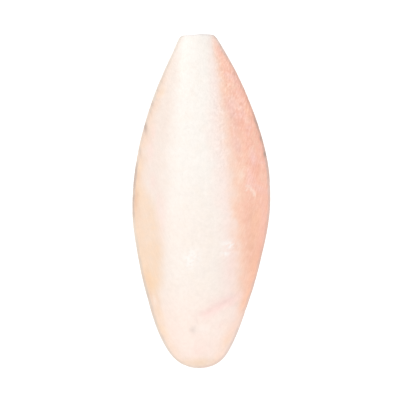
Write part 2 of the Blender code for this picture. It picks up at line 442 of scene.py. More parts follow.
def scratch_mask(x, y):
    """Single scratches, with ragged borders."""
    ragged_x = x + 0.3 * lumps(x, y, 0.9, 54)
    ragged_y = y + 0.3 * lumps(x, y, 0.9, 55)
    return np.max([1 - step(oval(ragged_x, ragged_y, scratch), 0.4, 1.3) for scratch in SCRATCHES], axis=0)


def crease_marks(x, y):
    """The crease's fine line, the lip below its right end and the curl at that end."""
    distance, share, side = near_line(x, y, CREASE)
    line = -0.045 * bell(distance, 0.9) * step(share, 0.05, 0.4)
    lip = 0.14 * bell(distance - 2.4, 1.1) * step(share, 0.45, 0.8) * (side < 0)
    curl = -0.1 * bell(near_line(x, y, CREASE_CURL)[0], 1.1)
    return line + lip + curl


def dorsal_relief(x, y, along, aside):
    """The fine relief of the hard side: low waves, growth lines, rays, granules and marks."""
    waves = 0.11 * lumps(x, y, 17, 1) + 0.05 * lumps(x, y, 8, 2)
    patchy = 0.65 + 0.35 * lumps(x, y, 12, 3)
    lines = 0.05 * streaks(along / 1.9, aside / 13, 4) + 0.035 * streaks(along / 4.3, aside / 22, 5)
    rays = 0.028 * streaks(along / 28, aside / 1.5, 6) + 0.03 * streaks(along / 40, aside / 3.2, 7)
    granules = 0.1 * lumps(x, y, 1.6, 8) + 0.06 * lumps(x, y, 1.1, 9)
    pit = 0.42 * bell(np.hypot(x - PIT[0], y - PIT[1]), 1.35)
    spot = 0.12 * bell(np.hypot(x - LIGHT_SPOT[0], y - LIGHT_SPOT[1]), 1.8)
    flakes = FLAKE_DEPTH * np.maximum(flake_mask(x, y), scratch_mask(x, y))
    relief = waves + patchy * (lines + rays) + grain_strength(x, y) * granules
    relief = relief + WRINKLE_HEIGHT * wrinkles(x, y)
    return relief + crease_marks(x, y) - pit + spot - flakes - 0.14


def ventral_relief(x, y, along, aside, stria_rise):
    """The fine relief of the chalky side, which only ever lies inside the solid's surface."""
    share, across = place_on_the_bone(x, y)
    belly = np.clip(LEDGE_FADE * (belly_half_share(share) - across), 0, 1)
    striae = stria_rise * belly * (0.75 + 0.25 * lumps(x, y, 6, 11))
    powder = 0.05 + 0.05 * lumps(x, y, 1.4, 12)
    smooth_front = step(share, 0.45, 0.25)
    ripples = 0.03 + 0.03 * streaks(along / 2.4, aside / 18, 13)
    rays = 0.03 + 0.03 * streaks(along / 30, aside / 1.8, 14)
    return striae + powder + (ripples + rays) * (0.4 + 0.6 * smooth_front)


# Masks for the materials

# Where each flank's colour is half strong, as a share of the half width, how far it reaches from
# there, and how strong it gets, at shares of the length from the front end. The right flank's
# colour comes in bands, from the inside out: where each one starts and is full, in reaches.
SALMON_PLACES = ((0.0, 1.1), (0.12, 1.0), (0.2, 0.82), (0.27, 0.67), (0.35, 0.57), (0.42, 0.51), (0.53, 0.45),
                 (0.6, 0.44), (0.7, 0.4), (0.8, 0.42), (0.87, 0.47), (0.93, 0.52), (1.0, 0.66))
SALMON_REACHES = ((0.0, 0.15), (0.2, 0.3), (0.27, 0.3), (0.35, 0.22), (0.42, 0.2), (0.53, 0.25), (0.8, 0.27),
                  (1.0, 0.2))
SALMON_STRENGTHS = ((0.0, 0.6), (0.2, 0.85), (0.35, 1.0), (0.7, 1.0), (0.9, 0.9), (0.95, 0.7), (1.0, 0.2))
PINK_BAND = (-1.5, -0.3)
TAN_BAND = (-0.6, 0.6)
SALMON_BAND = (-0.1, 1.1)
BLUSH_PLACES = ((0.0, 0.45), (0.2, 0.5), (0.35, 0.52), (0.5, 0.51), (0.7, 0.48), (0.85, 0.55), (1.0, 0.75))
BLUSH_REACH = 0.2
BLUSH_STRENGTHS = ((0.0, 0.4), (0.2, 0.55), (0.35, 0.85), (0.6, 1.0), (0.85, 1.0), (1.0, 0.5))

# The orange patch at the left: how far its inner edge lies from the middle, at places y
PATCH_EDGES = ((-45.0, 18.4), (-35.5, 17.8), (-26.5, 17.2), (-17.4, 18.0), (-10.7, 18.9), (-3.9, 20.2),
               (0.6, 22.4), (5.1, 25.2), (12.0, 28.0))
PATCH_REACH = 2.8
APRICOT_PLACE = 0.86
APRICOT_REACH = 0.12
APRICOT_STRENGTHS = ((0.0, 0.3), (0.1, 0.7), (0.25, 1.0), (0.5, 1.0), (0.6, 0.9), (0.85, 0.85), (0.95, 0.3),
                     (1.0, 0.1))

# Painted shade in deep salmon close to the right rim, where the flank turns away from the light, and the rim's own
# light and dark lines
RIGHT_RIM_SHADE_STRENGTHS = ((0.0, 0.0), (0.1, 0.1), (0.17, 0.6), (0.26, 0.9), (0.35, 0.8), (0.5, 0.4), (0.6, 0.6),
                       (0.67, 1.0), (0.78, 1.0), (0.9, 1.0), (0.94, 0.8), (1.0, 0.2))
RIGHT_RIM_SHADE_REACH = 2.6
LEFT_HORN = ((0.0, 0.3), (0.08, 0.6), (0.2, 0.6), (0.4, 0.6), (0.6, 0.5), (0.67, 0.4), (0.8, 0.65),
             (0.88, 0.65), (0.94, 0.5), (1.0, 0.6))
RIGHT_HORN = ((0.0, 0.3), (0.08, 0.6), (0.15, 0.5), (0.3, 0.35), (0.44, 0.4), (0.5, 0.7), (0.58, 0.6),
              (0.64, 0.3), (0.9, 0.3), (0.95, 0.6), (1.0, 0.6))
LEFT_DARK_HORN = ((0.0, 0.1), (0.1, 0.1), (0.25, 0.25), (0.34, 0.2), (0.44, 0.1), (0.47, 0.5), (0.51, 0.7),
                  (0.53, 0.2), (0.55, 0.55), (0.59, 0.85), (0.62, 0.2), (0.7, 0.12), (0.8, 0.08), (0.86, 0.12),
                  (1.0, 0.0))
RIGHT_DARK_HORN = ((0.0, 0.1), (0.1, 0.0), (0.2, 0.1), (0.3, 0.2), (0.38, 0.2), (0.44, 0.1), (0.5, 0.1),
                   (0.55, 0.05), (0.58, 0.3), (0.61, 0.3), (0.65, 0.75), (0.7, 0.9), (0.75, 0.6), (0.8, 0.3),
                   (0.9, 0.3), (1.0, 0.1))
RIM_LINE_WIDTH = 1.1
RIM_LINE_FADE = 0.55

salmon_place = smooth_curve(SALMON_PLACES)
salmon_reach = smooth_curve(SALMON_REACHES)
salmon_strength = smooth_curve(SALMON_STRENGTHS)
blush_place = smooth_curve(BLUSH_PLACES)
blush_strength = smooth_curve(BLUSH_STRENGTHS)
apricot_strength = smooth_curve(APRICOT_STRENGTHS)
patch_edge = smooth_curve(PATCH_EDGES)
right_rim_shade_strength = smooth_curve(RIGHT_RIM_SHADE_STRENGTHS)
left_horn = smooth_curve(LEFT_HORN)
right_horn = smooth_curve(RIGHT_HORN)
left_dark_horn = smooth_curve(LEFT_DARK_HORN)
right_dark_horn = smooth_curve(RIGHT_DARK_HORN)

# Stains, and patches of painted light and shade: x, y, half length, half width, turn in degrees, strength
ORANGE_STAINS = ((-17.9, 48.9, 2.6, 1.6, 60, 0.7), (-25.5, -31.0, 6.0, 1.6, 106, 0.7),
                 (-1.5, -72.3, 10.0, 2.2, 0, 0.65), (-20.5, -47.0, 7.0, 1.8, 108, 0.35),
                 (-20.0, -54.5, 1.2, 4.5, 25, 0.7), (-27.6, 15.0, 1.4, 4.0, -6, 0.5))
OCHRE_STAINS = ((-22.8, -35.4, 2.2, 5.0, 16, 0.75), (-28.4, 5.5, 1.8, 5.0, 0, 0.4), (-28.0, 14.5, 1.4, 4.0, -6, 0.3),
                (-20.6, -42.0, 1.4, 4.0, 18, 0.25), (-18.4, -50.0, 1.5, 4.5, 20, 0.3), (-16.6, -58.0, 1.5, 4.5, 28, 0.35),
                (-12.6, -65.5, 1.4, 4.0, 40, 0.2), (12.2, -62.0, 1.6, 4.0, -34, 0.25), (-1.0, -71.5, 8.0, 2.0, 0, 0.2))
# Honey patches: stains, and painted light on the right front, which slopes away from the light
HONEY_STAINS_AND_LIGHT = ((19.8, -44.0, 2.0, 7.0, -24, 0.7),
                (23.4, -31.0, 2.4, 8.0, -14, 0.6), (14.0, -57.0, 2.0, 5.5, -32, 0.3), (11.6, 47.8, 1.0, 3.0, 10, 0.4),
                (19.9, 41.6, 1.2, 3.6, 25, 0.5), (24.6, -9.0, 2.4, 9.0, -6, 0.4), (17.2, 27.0, 1.8, 7.0, 10, 0.35))
AMBER_STAINS = ((-29.6, 1.5, 1.4, 7.5, 0, 1.0), (-28.0, -4.5, 1.0, 4.0, 8, 0.4), (-24.2, -35.0, 2.2, 5.0, 16, 0.4),
                (-28.6, 11.0, 1.2, 3.5, -6, 0.5), (-19.3, -44.5, 1.2, 3.5, 16, 0.35),
                (-1.5, -74.2, 5.0, 1.0, 0, 0.25), (-22.4, -42.0, 0.9, 4.0, 18, 0.4))
CLAY_STAINS = ((22.6, -8.0, 3.0, 8.0, -2, 0.7), (22.2, -18.0, 2.6, 7.0, -10, 0.7),
               (23.2, -26.4, 1.9, 6.0, -14, 0.65))
# Painted shade: darker mauve over the rippled right shoulder, which faces away from the light
MAUVE_SHADE_PATCHES = ((12.6, 42.0, 2.4, 6.5, 14, 0.5), (15.2, 33.0, 2.4, 6.0, 10, 0.4),
                (16.0, 25.0, 2.2, 5.0, 6, 0.65))
# Deep salmon patches; those close to the right rim are painted shade, where the flank turns away from the light
DEEP_PATCHES_AND_RIM_SHADE = ((21.5, 31.0, 4.0, 13.0, 24, 0.4), (19.8, 22.5, 1.6, 3.0, 0, 0.4), (24.4, 14.8, 2.3, 5.0, 0, 1.0),
               (16.8, 34.0, 2.4, 5.0, 10, 0.8), (14.8, 57.0, 1.4, 2.6, 24, 1.0), (25.1, 30.6, 1.2, 2.4, 14, 1.0))
ROSE_STAINS = ((22.8, 19.4, 1.3, 4.4, 8, 1.0), (21.4, 11.6, 1.5, 3.0, 0, 0.8), (19.0, 38.0, 1.6, 4.0, 24, 0.5),
               (14.0, 43.5, 2.0, 3.4, 0, 0.7),
               (15.4, 54.5, 1.6, 5.0, 25, 0.5), (-19.0, -1.5, 1.1, 7.0, 0, 0.4), (-17.4, -6.0, 1.8, 9.0, 0, 0.35), (-22.6, 23.0, 1.6, 5.0, 0, 0.45),
               (-21.4, 30.8, 1.2, 3.0, 0, 0.4), (-21.6, 9.0, 1.6, 4.0, 0, 0.4), (13.4, -27.0, 2.6, 10.0, -6, 0.3),
               (-1.0, -66.5, 4.0, 2.4, 0, 0.3), (12.9, -45.6, 2.4, 1.1, 15, 0.5), (6.4, -44.5, 4.0, 2.6, 30, 0.25),
               (8.8, -54.8, 1.0, 3.0, -35, 0.3))
PEACH_STAINS = ((17.6, 11.8, 1.1, 2.4, -8, 0.9), (16.4, 8.6, 1.2, 1.0, 0, 0.4))
# Pale patches: flaked spots, and painted highlights on the lit side of the pit and on the lip below the crease's right
# end
PALE_STAINS_AND_HIGHLIGHTS = ((0.9, -56.6, 3.6, 2.4, 0, 0.7), (8.0, -58.0, 7.0, 3.0, 10, 0.35), (14.5, -47.2, 3.4, 1.0, 24, 0.3),
               (17.0, 42.0, 0.9, 2.0, 40, 0.3), (-21.0, -44.0, 0.9, 1.8, 14, 0.5), (-4.4, -25.0, 3.8, 3.2, 60, 0.6),
               (11.0, -51.4, 8.0, 3.2, 27, 0.3), (12.2, -19.3, 3.0, 2.0, -8, 0.4))
DARK_SPOTS = ((-22.3, 44.2, 0.9, 1.9, 14, 0.5), (-22.9, 40.6, 0.8, 1.8, 14, 0.25),
              (-25.2, 33.4, 1.0, 3.0, 10, 0.75), (-18.2, 54.3, 0.7, 1.6, 24, 0.3), (-19.6, 50.0, 0.7, 1.4, 24, 0.25),
              (-27.4, 22.2, 0.7, 2.6, 10, 0.3), (-28.2, 3.2, 0.7, 1.0, 20, 0.2), (-24.6, -39.2, 0.7, 1.5, 16, 0.25),
              (-17.5, -60.7, 0.7, 1.5, 32, 0.2), (28.4, 22.4, 0.7, 2.4, 0, 0.4), (29.9, 11.4, 0.7, 1.8, 0, 0.35),
              (14.9, 57.2, 1.0, 2.0, 24, 0.3), (25.4, 30.8, 1.0, 2.0, 14, 0.2), (-20.2, 45.6, 1.6, 0.9, 0, 0.12),
              (-2.1, -52.9, 0.6, 1.2, 10, 0.12), (11.0, -44.4, 1.6, 0.7, 20, 0.12))


def stain(x, y, places):
    """The strongest of several soft ovals at each point."""
    return np.max([strength * np.exp(-oval(x, y, place) ** 2) for *place, strength in places], axis=0)


def rim_lines(x, y, way, distance):
    """The horny rim's light and dark lines, of ragged width, which come and go."""
    share, _ = place_on_the_bone(x, y)
    width = RIM_LINE_WIDTH + 0.3 * streaks(way / 2.3, 0.5, 61) + 0.15 * streaks(way / 0.8, 0.5, 62)
    line = 1 - step(distance, width - RIM_LINE_FADE, width + RIM_LINE_FADE)
    light = np.where(x < 0, left_horn(share), right_horn(share)) * (1 + 0.35 * streaks(way / 3.1, 0.5, 63))
    dark = np.where(x < 0, left_dark_horn(share), right_dark_horn(share)) * (1 + 0.6 * streaks(way / 1.9, 0.5, 64))
    return np.clip(light, 0, 1) * line, np.clip(dark, 0, 1) * line


def shield_masks(x, y, way, distance):
    """What colours the dorsal side, from 0 to 1 at each point."""
    share, _ = place_on_the_bone(x, y)
    seen_x = x + midline(share)
    ragged = 0.02 * lumps(x, y, 9, 71) + 0.03 * lumps(x, y, 3.5, 72) + 0.02 * lumps(x, y, 1.6, 73)
    across = x / np.maximum(half_width(share), 0.1) + ragged
    flank = (across - salmon_place(share)) / salmon_reach(share)
    flank_strength = salmon_strength(share)
    # Painted shade along the right rim, on the side away from the light
    right_rim_shade = right_rim_shade_strength(share) * bell(distance, RIGHT_RIM_SHADE_REACH) * (x > 0)
    blush = step(-across - blush_place(share), -BLUSH_REACH, BLUSH_REACH)
    apricot = step(-across - APRICOT_PLACE, -APRICOT_REACH, APRICOT_REACH)
    front = step(share, 0.3, 0.08)
    patch_x = seen_x + 0.9 * lumps(x, y, 6, 74) + 0.4 * lumps(x, y, 2.5, 75)
    patch = -patch_x - patch_edge(np.clip(y, PATCH_EDGES[0][0], PATCH_EDGES[-1][0]))
    orange = step(patch, -PATCH_REACH, PATCH_REACH) * step(y, 14.0, 0.0) * step(y, -49.0, -34.0)
    orange = orange * (0.75 + 0.25 * step(-y, 8.0, 30.0))
    crease, passed, _ = near_line(seen_x, y + 0.5 * lumps(x, y, 3.5, 76), CREASE)
    light_rim, dark_rim = rim_lines(x, y, way, distance)
    return {
        "back": step(share, 0.38, 0.66),
        "front": front,
        "front_side": front * step(np.abs(across), 0.4, 0.9),
        "blush": blush_strength(share) * blush,
        "apricot": apricot_strength(share) * apricot,
        "orange": np.maximum(orange, stain(seen_x, y, ORANGE_STAINS)),
        "amber": stain(seen_x, y, AMBER_STAINS),
        "ochre": stain(seen_x, y, OCHRE_STAINS),
        "honey_and_light": stain(seen_x, y, HONEY_STAINS_AND_LIGHT),
        "pink": flank_strength * step(flank, *PINK_BAND),
        "tan": flank_strength * step(flank, *TAN_BAND),
        "salmon": flank_strength * step(flank, *SALMON_BAND),
        "mottled": 0.4 + 0.6 * step(share, 0.45, 0.68),
        # Deep salmon patches, and painted shade along the right rim
        "deep": np.maximum(right_rim_shade, stain(seen_x, y, DEEP_PATCHES_AND_RIM_SHADE)),
        "clay": stain(seen_x, y, CLAY_STAINS),
        "mauve_shade": stain(seen_x, y, MAUVE_SHADE_PATCHES),
        "rose": stain(seen_x, y, ROSE_STAINS),
        "crease": bell(crease, 2.1) * step(passed, -0.1, 0.25) * (1 - 0.4 * step(passed, 0.8, 1.0)),
        "peach": stain(seen_x, y, PEACH_STAINS),
        "pale_and_highlight": stain(seen_x, y, PALE_STAINS_AND_HIGHLIGHTS),
        "pit": bell(np.hypot(seen_x - PIT[0], y - PIT[1]), 1.8),
        "flaked": flake_mask(seen_x, y),
        "scratched": scratch_mask(seen_x, y),
        "grain": grain_strength(x, y),
        "speckled_and_grain_shade": np.maximum(speckle_and_grain_shade_strength(x, y), wrinkle_mask(seen_x, y)),
        "sawn_edge_shade": bell(CUT - y, 0.75),
        "rim": light_rim * (x <= 0),
        "right_rim": light_rim * (x > 0),
        "dark_rim": np.maximum(dark_rim, stain(seen_x, y, DARK_SPOTS)),
    }


# The mesh

def quads(index):
    """Faces between the rows and columns of a grid of point numbers, without repeated corners."""
    corners = (index[:-1, :-1], index[1:, :-1], index[1:, 1:], index[:-1, 1:])
    faces = np.stack([corner.ravel() for corner in corners], axis=1)
    return [list(dict.fromkeys(face)) for face in faces.tolist()]


def bone_mesh():
    growth, stria_rise = growth_of_rows()
    growth = growth[:, None]
    stria_rise = stria_rise[:, None]
    across = np.sin(math.pi / 2 * eased(np.linspace(-1, 1, COLUMNS)))[None, :]
    x, y = line_points(growth, across)
    along = growth * LENGTH + 0 * across
    aside = across * half_width(WIDEST) + 0 * growth
    rim = rim_height(np.clip((y - FRONT) / LENGTH, 0, 1))

    distance, nearest = edge_of(x, y)
    fade = step(distance, 0, RELIEF_FADE)
    rounding = rim_round(distance)
    drift = midline((y - FRONT) / LENGTH)
    upper_z = dorsal_height(x, y) + fade * dorsal_relief(x + drift, y, along, aside)
    upper_z = rim + (np.minimum(upper_z, TOP) - rim) * rounding
    upper_x, upper_y = worn_edge(x, y, distance, nearest)
    upper_y = sawn(upper_x, upper_y)

    notch = STRIPE_NOTCH * np.sin(math.pi * growth) * bell(x, STRIPE_NOTCH_WIDTH) * (1 - across ** 4)
    lower_distance, lower_nearest = edge_of(x, y + notch)
    fade = step(lower_distance, 0, RELIEF_FADE)
    lower_z = ventral_height(x, y + notch, ledge_rise(growth))
    lower_z = lower_z + fade * ventral_relief(x, y + notch, along, aside, stria_rise)
    lower_z = rim + (lower_z - rim) * rim_round(lower_distance)
    lower_x, lower_y = worn_edge(x, y + notch, lower_distance, lower_nearest)
    lower_y = sawn(lower_x, lower_y)

    rows, columns = x.shape
    upper = np.arange(rows * columns).reshape(rows, columns)
    lower = upper.copy()
    lower[:-1, 1:-1] = upper.size + np.arange((rows - 1) * (columns - 2)).reshape(rows - 1, columns - 2)
    cut = np.tile(upper[0], (CUT_STEPS + 1, 1))
    cut[-1] = lower[0]
    cut_size = (CUT_STEPS - 1) * (columns - 2)
    cut[1:-1, 1:-1] = lower[:-1, 1:-1].max() + 1 + np.arange(cut_size).reshape(CUT_STEPS - 1, columns - 2)

    depth = np.linspace(0, 1, CUT_STEPS + 1)[1:-1, None]
    cut_x = upper_x[0, 1:-1] * (1 - depth) + lower_x[0, 1:-1] * depth
    cut_z = upper_z[0, 1:-1] * (1 - depth) + lower_z[0, 1:-1] * depth
    roughness = 0.12 + 0.07 * streaks(cut_x / 2.5, cut_z / 0.8, 81) + 0.05 * lumps(cut_x, cut_z, 0.9, 82)
    cut_y = upper_y[0, 1:-1] * (1 - depth) + lower_y[0, 1:-1] * depth - roughness

    def gather(dorsal, ventral, sawn_face):
        return np.concatenate([np.broadcast_to(part, shape).ravel() for part, shape in (
            (dorsal, upper.shape), (ventral, lower[:-1, 1:-1].shape), (sawn_face, cut_x.shape))])

    inner = (slice(None, -1), slice(1, -1))
    points_x = gather(upper_x, lower_x[inner], cut_x)
    points_y = gather(upper_y, lower_y[inner], cut_y)
    points_z = gather(upper_z, lower_z[inner], cut_z)
    points_x = points_x + midline((points_y - FRONT) / LENGTH)
    faces = quads(upper) + [face[::-1] for face in quads(lower)] + [face[::-1] for face in quads(cut)]
    mesh = bpy.data.meshes.new("bone")
    mesh.from_pydata(np.column_stack((points_x, points_y, points_z)) * MM, [], faces)

    count = (rows - 1) * (columns - 1)
    slots = np.concatenate((np.zeros(count), np.ones(count), np.full(len(faces) - 2 * count, 2)))
    mesh.polygons.foreach_set("material_index", slots.astype(np.int32))
    masks = shield_masks(x, y, WAY[nearest], distance)
    under_masks = dict(zip(("rim", "dark_rim"), rim_lines(x, y, WAY[lower_nearest], lower_distance)))
    for name, values in masks.items():
        add_mask(mesh, name, gather(values, under_masks.get(name, values)[inner], 0))
    share, across_there = place_on_the_bone(x, y + notch)
    striped = np.clip(LEDGE_FADE * (belly_half_share(share) - across_there), 0, 1)
    # Painted shade in the striped belly's recesses, between the ledges and striae
    recess = striped * (0.6 * ledge_rise(growth) / LEDGE_HEIGHT + 0.4 * stria_rise / STRIA_HEIGHT)
    add_mask(mesh, "recess", gather(0, recess[inner], 0))
    add_mask(mesh, "flange", gather(0, (1 - striped)[inner], 0))
    add_mask(mesh, "edge", gather(distance, lower_distance[inner], 9))
    add_mask(mesh, "along", gather(along, along[inner], 0))
    add_mask(mesh, "aside", gather(aside, aside[inner], 0))
    add_mask(mesh, "layer", gather(0, 1, depth + 0 * cut_x))
    return mesh


def add_mask(mesh, name, values):
    attribute = mesh.attributes.new(name, "FLOAT", "POINT")
    attribute.data.foreach_set("value", values.astype(np.float32))


# Materials

class Painter:
    """Adds nodes to one material and joins them."""

    def __init__(self, name, roughness, specular):
        self.material = bpy.data.materials.new(name)
        self.material.use_nodes = True
        self.tree = self.material.node_tree
        self.shader = self.tree.nodes["Principled BSDF"]
        self.shader.inputs["Roughness"].default_value = roughness
        self.shader.inputs["Specular IOR Level"].default_value = specular
        self.place = self.tree.nodes.new("ShaderNodeTexCoord").outputs["Object"]

    def set(self, socket, value):
        if isinstance(value, bpy.types.NodeSocket):
            self.tree.links.new(value, socket)
        elif isinstance(value, tuple):
            socket.default_value = (*value, 1.0)
        else:
            socket.default_value = value

    def mask(self, name):
        node = self.tree.nodes.new("ShaderNodeAttribute")
        node.attribute_name = name
        return node.outputs["Fac"]

    def math(self, operation, first, second=0.0):
        node = self.tree.nodes.new("ShaderNodeMath")
        node.operation = operation
        self.set(node.inputs[0], first)
        self.set(node.inputs[1], second)
        return node.outputs[0]

    def times(self, first, second):
        return self.math("MULTIPLY", first, second)

    def between(self, value, low, high):
        """A value from 0 to 1, spread so that it runs from low to high."""
        return self.math("ADD", self.times(value, high - low), low)

    def flow(self, pitch, reach):
        """Coordinates that follow the growth lines, pitch apart and reach long."""
        node = self.tree.nodes.new("ShaderNodeCombineXYZ")
        self.set(node.inputs[0], self.times(self.mask("along"), 1 / pitch))
        self.set(node.inputs[1], self.times(self.mask("aside"), 1 / reach))
        return node.outputs[0]

    def noise(self, size, detail=2.0, place=None):
        """Noise from 0 to 1 in lumps of the given size."""
        node = self.tree.nodes.new("ShaderNodeTexNoise")
        self.set(node.inputs["Vector"], place or self.place)
        node.inputs["Scale"].default_value = 1.0 if place else 1 / (size * MM)
        node.inputs["Detail"].default_value = detail
        return node.outputs["Fac"]

    def contrast(self, value, low, high):
        node = self.tree.nodes.new("ShaderNodeMapRange")
        node.interpolation_type = "SMOOTHSTEP"
        self.set(node.inputs["Value"], value)
        node.inputs["From Min"].default_value = low
        node.inputs["From Max"].default_value = high
        return node.outputs["Result"]

    def layer(self, below, colour, amount):
        """Paints a colour over what is below, as strongly as the amount says."""
        node = self.tree.nodes.new("ShaderNodeMix")
        node.data_type = "RGBA"
        self.set(node.inputs["Factor"], amount)
        self.set(node.inputs[6], below)
        self.set(node.inputs[7], colour)
        return node.outputs[2]

    def shade(self, colour, factor):
        """Makes a colour darker or lighter by a factor."""
        node = self.tree.nodes.new("ShaderNodeVectorMath")
        node.operation = "SCALE"
        self.set(node.inputs["Vector"], colour)
        self.set(node.inputs["Scale"], factor)
        return node.outputs["Vector"]

    def bump(self, heights):
        """Bumps from (height, depth in mm) pairs, one on the other."""
        normal = None
        for height, depth in heights:
            node = self.tree.nodes.new("ShaderNodeBump")
            node.inputs["Distance"].default_value = depth * MM
            self.set(node.inputs["Height"], height)
            if normal:
                self.set(node.inputs["Normal"], normal)
            normal = node.outputs["Normal"]
        self.set(self.shader.inputs["Normal"], normal)

    def finish(self, colour):
        self.set(self.shader.inputs["Base Color"], colour)
        return self.material


CREAM = (0.87, 0.785, 0.722)
BACK_CREAM = (0.86, 0.812, 0.762)
FRONT_CREAM = (0.92, 0.76, 0.685)
FRONT_PEACH = (0.945, 0.72, 0.61)
BLUSH = (0.795, 0.685, 0.617)
APRICOT = (0.785, 0.595, 0.48)
ORANGE = (0.805, 0.61, 0.465)
OCHRE = (0.86, 0.615, 0.40)
HONEY = (0.97, 0.56, 0.385)
AMBER = (0.74, 0.50, 0.36)
PINK = (0.90, 0.73, 0.675)
TAN = (0.90, 0.61, 0.47)
SALMON = (0.91, 0.525, 0.41)
DEEP_SALMON = (0.885, 0.45, 0.335)
CLAY = (0.82, 0.48, 0.34)
MAUVE_SHADE = (0.82, 0.52, 0.465)
LIGHT_SALMON = (0.92, 0.615, 0.515)
ROSE = (0.905, 0.585, 0.545)
CREASE_PINK = (0.92, 0.67, 0.63)
PEACH = (0.95, 0.71, 0.59)
SCUFF = (0.98, 0.78, 0.67)
PALE = (0.92, 0.84, 0.79)
YELLOWISH = (0.88, 0.77, 0.67)
PIT_SHADE = (0.72, 0.62, 0.57)
CHALK = (0.92, 0.90, 0.87)
SAWN_EDGE_SHADE = (0.66, 0.62, 0.63)
HORN = (0.66, 0.60, 0.53)
ROSE_HORN = (0.68, 0.55, 0.50)
DARK_HORN = (0.42, 0.31, 0.265)
BELLY = (0.90, 0.87, 0.80)
BELLY_LINES_AND_RECESS_SHADE = (0.70, 0.63, 0.52)
FLANGE = (0.90, 0.80, 0.66)
SAWN_CHALK = (0.90, 0.85, 0.78)
SAWN_LINES = (0.80, 0.73, 0.64)


def mottled_salmon(paint, clouds, blotches):
    """The right flank's salmon, with tan, rose, lighter and deeper patches, and painted shade in deep salmon along the
    right rim.
    """
    mottled = paint.mask("mottled")
    patches = ((LIGHT_SALMON, paint.contrast(blotches, 0.48, 0.7)), (TAN, paint.contrast(clouds, 0.5, 0.64)),
               (ROSE, paint.contrast(clouds, 0.47, 0.36)), (DEEP_SALMON, paint.contrast(blotches, 0.5, 0.3)))
    colour = SALMON
    for patch_colour, amount in patches:
        colour = paint.layer(colour, patch_colour, paint.times(paint.times(amount, mottled), 0.55))
    colour = paint.layer(colour, CLAY, paint.mask("clay"))
    # Deep salmon patches, and painted shade along the right rim
    return paint.layer(colour, DEEP_SALMON, paint.times(paint.mask("deep"), 0.9))


def flank(paint, below, clouds, blotches, growth):
    """The right flank's bands over what is below: pink, tan and salmon, streaked along the growth lines."""
    streaked = paint.between(growth, 0.8, 1.2)
    colour = paint.layer(below, PINK, paint.times(paint.mask("pink"), 0.75))
    colour = paint.layer(colour, TAN, paint.times(paint.mask("tan"), streaked))
    return paint.layer(colour, mottled_salmon(paint, clouds, blotches), paint.times(paint.mask("salmon"), streaked))


def shield_material():
    paint = Painter("shield", roughness=0.6, specular=0.3)
    clouds = paint.noise(5, 3)
    blotches = paint.noise(2.4, 3)
    growth = paint.noise(1, 3, paint.flow(1.3, 9))
    rays = paint.noise(1, 3, paint.flow(30, 1.6))
    ragged = paint.between(paint.math("ADD", paint.times(clouds, 0.5), paint.times(blotches, 0.5)), 0.4, 1.6)

    colour = paint.layer(CREAM, BACK_CREAM, paint.mask("back"))
    colour = paint.layer(colour, FRONT_CREAM, paint.mask("front"))
    colour = paint.layer(colour, PALE, paint.times(paint.contrast(rays, 0.5, 0.75), 0.15))
    colour = paint.layer(colour, YELLOWISH, paint.times(paint.contrast(clouds, 0.45, 0.7), 0.2))
    colour = paint.layer(colour, FRONT_PEACH, paint.times(paint.mask("front_side"), ragged))
    colour = paint.layer(colour, BLUSH, paint.times(paint.mask("blush"), ragged))
    colour = paint.layer(colour, APRICOT, paint.times(paint.mask("apricot"), ragged))
    colour = flank(paint, colour, clouds, blotches, growth)
    colour = paint.layer(colour, ORANGE, paint.times(paint.mask("orange"), ragged))
    colour = paint.layer(colour, OCHRE, paint.times(paint.mask("ochre"), ragged))
    # Honey stains, and painted light on the right front
    colour = paint.layer(colour, HONEY, paint.times(paint.mask("honey_and_light"), ragged))
    colour = paint.layer(colour, AMBER, paint.times(paint.mask("amber"), ragged))
    # Painted shade over the rippled right shoulder
    colour = paint.layer(colour, MAUVE_SHADE, paint.mask("mauve_shade"))
    colour = paint.layer(colour, ROSE, paint.times(paint.mask("rose"), 0.6))
    colour = paint.layer(colour, CREASE_PINK, paint.times(paint.mask("crease"), 0.75))
    colour = paint.layer(colour, PEACH, paint.mask("peach"))
    # Pale patches, partly painted highlights on the pit's and the crease lip's lit sides
    colour = paint.layer(colour, PALE, paint.times(paint.mask("pale_and_highlight"), 0.6))
    colour = paint.layer(colour, PIT_SHADE, paint.times(paint.mask("pit"), 0.6))
    colour = paint.layer(colour, CHALK, paint.times(paint.mask("flaked"), 0.75))
    colour = paint.layer(colour, SCUFF, paint.times(paint.mask("scratched"), 0.8))
    # Painted shade: a grey line along the sawn end's top edge, for the sawn face seen edge-on
    colour = paint.layer(colour, SAWN_EDGE_SHADE, paint.times(paint.mask("sawn_edge_shade"), 0.6))
    colour = paint.layer(colour, HORN, paint.mask("rim"))
    colour = paint.layer(colour, ROSE_HORN, paint.mask("right_rim"))
    colour = paint.layer(colour, DARK_HORN, paint.mask("dark_rim"))
    # Light and dark specks: partly the granules' tone, partly painted shade and highlight of their relief where the
    # light rakes the right flank
    specks = paint.noise(1, 2, paint.flow(1.5, 1.7))
    speckled_and_grain_shade = paint.mask("speckled_and_grain_shade")
    light_specks = paint.times(paint.contrast(specks, 0.45, 0.75), speckled_and_grain_shade)
    colour = paint.layer(colour, PALE, paint.times(light_specks, 0.25))
    uneven = paint.math("ADD", paint.between(specks, -0.21, 0.21), paint.between(paint.noise(2.1, 3), -0.1, 0.1))
    uneven = paint.math("ADD", paint.times(uneven, speckled_and_grain_shade), paint.between(blotches, 0.95, 1.05))
    colour = paint.shade(colour, uneven)
    grains = paint.times(paint.noise(0.8, 2), paint.mask("grain"))
    paint.bump(((growth, 0.06), (grains, 0.3), (paint.noise(0.25, 2), 0.03)))
    return paint.finish(colour)


